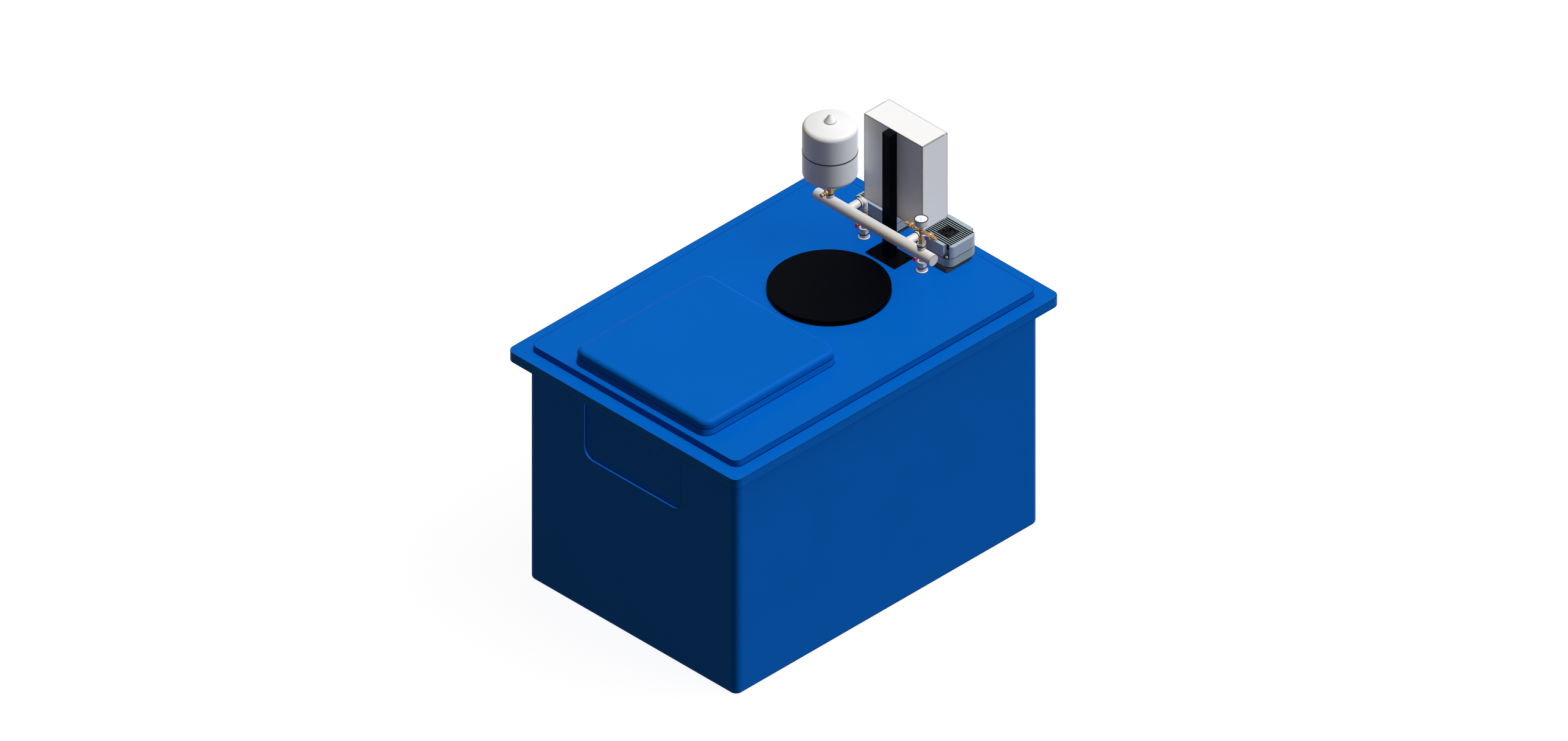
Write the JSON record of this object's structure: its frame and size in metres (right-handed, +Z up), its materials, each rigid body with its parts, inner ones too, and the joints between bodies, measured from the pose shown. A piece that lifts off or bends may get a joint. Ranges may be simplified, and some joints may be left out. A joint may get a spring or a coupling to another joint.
{
  "type": "break tank booster set",
  "caption": "Blue moulded break tank with an overhanging lid, square hatch and round cap, carrying a booster manifold with vessel, valved risers, panel on a post and pump drives.",
  "frame": {"origin": "middle of the tank's footprint, on the floor", "axes": "+Z up, X along the tank with the booster set at +X and the hatch at -X, Y across it"},
  "size_m": [2.22, 1.57, 2.11],
  "materials": {
    "blue_grp": "smooth moulded gelcoat",
    "black_plastic": "fine satin",
    "black_paint": "satin powder coat",
    "panel_paint": "fine textured powder coat",
    "steel": "satin welded tube",
    "vessel_paint": "smooth stove enamel",
    "dark_seam": "satin",
    "brass": "turned and cast",
    "white_plastic": "moulded",
    "dial_white": "printed dial under a clear window",
    "gauge_steel": "satin",
    "handle_red": "moulded",
    "handle_green": "moulded",
    "handle_blue": "moulded",
    "drive_casting": "painted die casting",
    "drive_base": "plain die casting",
    "fan_black": "moulded"
  },
  "bodies": {
    "tank_set": {"tank_body": "blue_grp", "tank_lid": "blue_grp", "hatch_plinth": "blue_grp", "post_base_plate": "black_paint", "panel_post": "black_paint", "panel_enclosure": "panel_paint", "panel_door": "panel_paint", "manifold": "steel", "vessel_lower_shell": "vessel_paint", "vessel_upper_shell": "vessel_paint", "vessel_band": "dark_seam", "vessel_cap": "vessel_paint", "vessel_valve": "brass", "vessel_drain_cock": "brass", "gauge_socket": "steel", "gauge_valve": "brass", "gauge_cross": "brass", "pressure_transducers": "brass", "gauge_case": "gauge_steel", "gauge_dial": "dial_white", "riser_flanges": "white_plastic", "riser_1_union": "steel", "riser_1_valve": "brass", "riser_1_check_valve": "brass", "riser_1_elbow": "steel", "drive_1_foot": "drive_base", "drive_1_housing": "drive_casting", "drive_1_heatsink": "drive_casting", "drive_1_fan_frame": "fan_black", "riser_2_union": "steel", "riser_2_valve": "brass", "riser_2_check_valve": "brass", "riser_2_elbow": "steel", "drive_2_foot": "drive_base", "drive_2_housing": "drive_casting", "drive_2_heatsink": "drive_casting", "drive_2_fan_frame": "fan_black"},
    "hatch_lid": {"hatch_cover": "blue_grp"},
    "access_cap": {"round_cover": "black_plastic"},
    "riser_handle_1": {"riser_1_handle": "handle_red"},
    "riser_handle_2": {"riser_2_handle": "handle_red"},
    "vessel_handle": {"vessel_valve_handle": "handle_green"},
    "gauge_handle": {"gauge_valve_handle": "handle_blue"},
    "fan_1": {"drive_1_fan_rotor": "fan_black"},
    "fan_2": {"drive_2_fan_rotor": "fan_black"}
  },
  "joints": [
    {"name": "hatch_lift", "type": "slide", "parent": "tank_set", "child": "hatch_lid", "axis": [0, 0, 1], "range_m": [0, 0.3]},
    {"name": "access_lift", "type": "slide", "parent": "tank_set", "child": "access_cap", "axis": [0, 0, 1], "range_m": [0, 0.12]},
    {"name": "riser_1_quarter_turn", "type": "hinge", "parent": "tank_set", "child": "riser_handle_1", "pos_m": [0.747, -0.198, 1.471], "axis": [-1, 0, 0], "range_deg": [0, 90]},
    {"name": "riser_2_quarter_turn", "type": "hinge", "parent": "tank_set", "child": "riser_handle_2", "pos_m": [0.747, 0.198, 1.471], "axis": [-1, 0, 0], "range_deg": [0, 90]},
    {"name": "vessel_quarter_turn", "type": "hinge", "parent": "tank_set", "child": "vessel_handle", "pos_m": [0.625, 0.308, 1.65], "axis": [1, 0, 0], "range_deg": [0, 90]},
    {"name": "gauge_quarter_turn", "type": "hinge", "parent": "tank_set", "child": "gauge_handle", "pos_m": [0.625, -0.315, 1.677], "axis": [1, 0, 0], "range_deg": [0, 90]},
    {"name": "fan_1_spin", "type": "hinge", "parent": "tank_set", "child": "fan_1", "pos_m": [0.9185, -0.207, 1.5008], "axis": [0, 0, 1], "continuous": true},
    {"name": "fan_2_spin", "type": "hinge", "parent": "tank_set", "child": "fan_2", "pos_m": [0.9185, 0.194, 1.5008], "axis": [0, 0, 1], "continuous": true}
  ]
}
